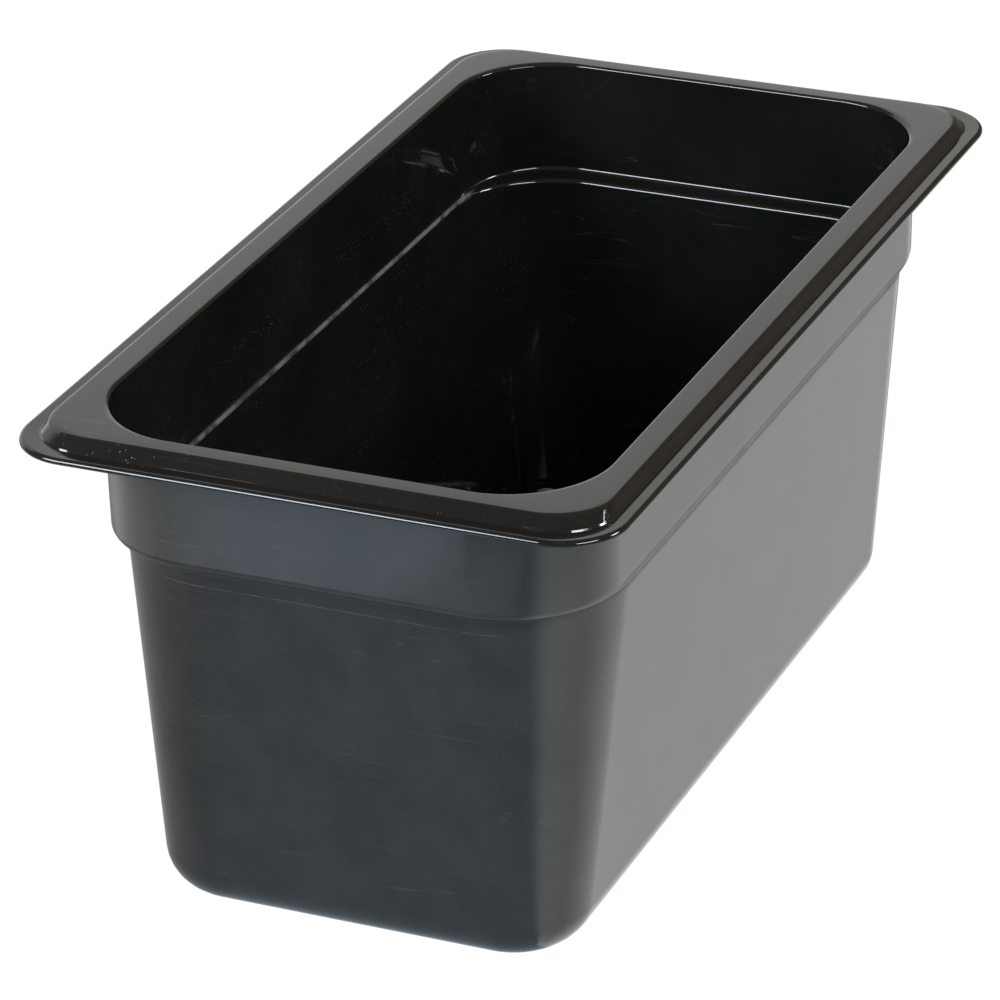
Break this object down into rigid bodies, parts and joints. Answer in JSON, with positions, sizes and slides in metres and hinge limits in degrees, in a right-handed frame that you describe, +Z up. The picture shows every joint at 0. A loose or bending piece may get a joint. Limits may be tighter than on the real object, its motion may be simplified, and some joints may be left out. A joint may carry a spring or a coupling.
{
  "type": "food pan",
  "caption": "Deep rectangular food pan with a flanged rim, rounded corners and a stacking shoulder; drops into a counter well and holds food.",
  "frame": {"origin": "centre of the base, on the surface the pan stands on", "axes": "+X along the length, +Y along the width, +Z up out of the opening"},
  "size_m": [0.325, 0.176, 0.15],
  "materials": {
    "pan_plastic": "black polycarbonate, glossy on the rim and inside, slightly softer outside"
  },
  "bodies": {
    "root": {"pan": "pan_plastic"}
  },
  "joints": []
}
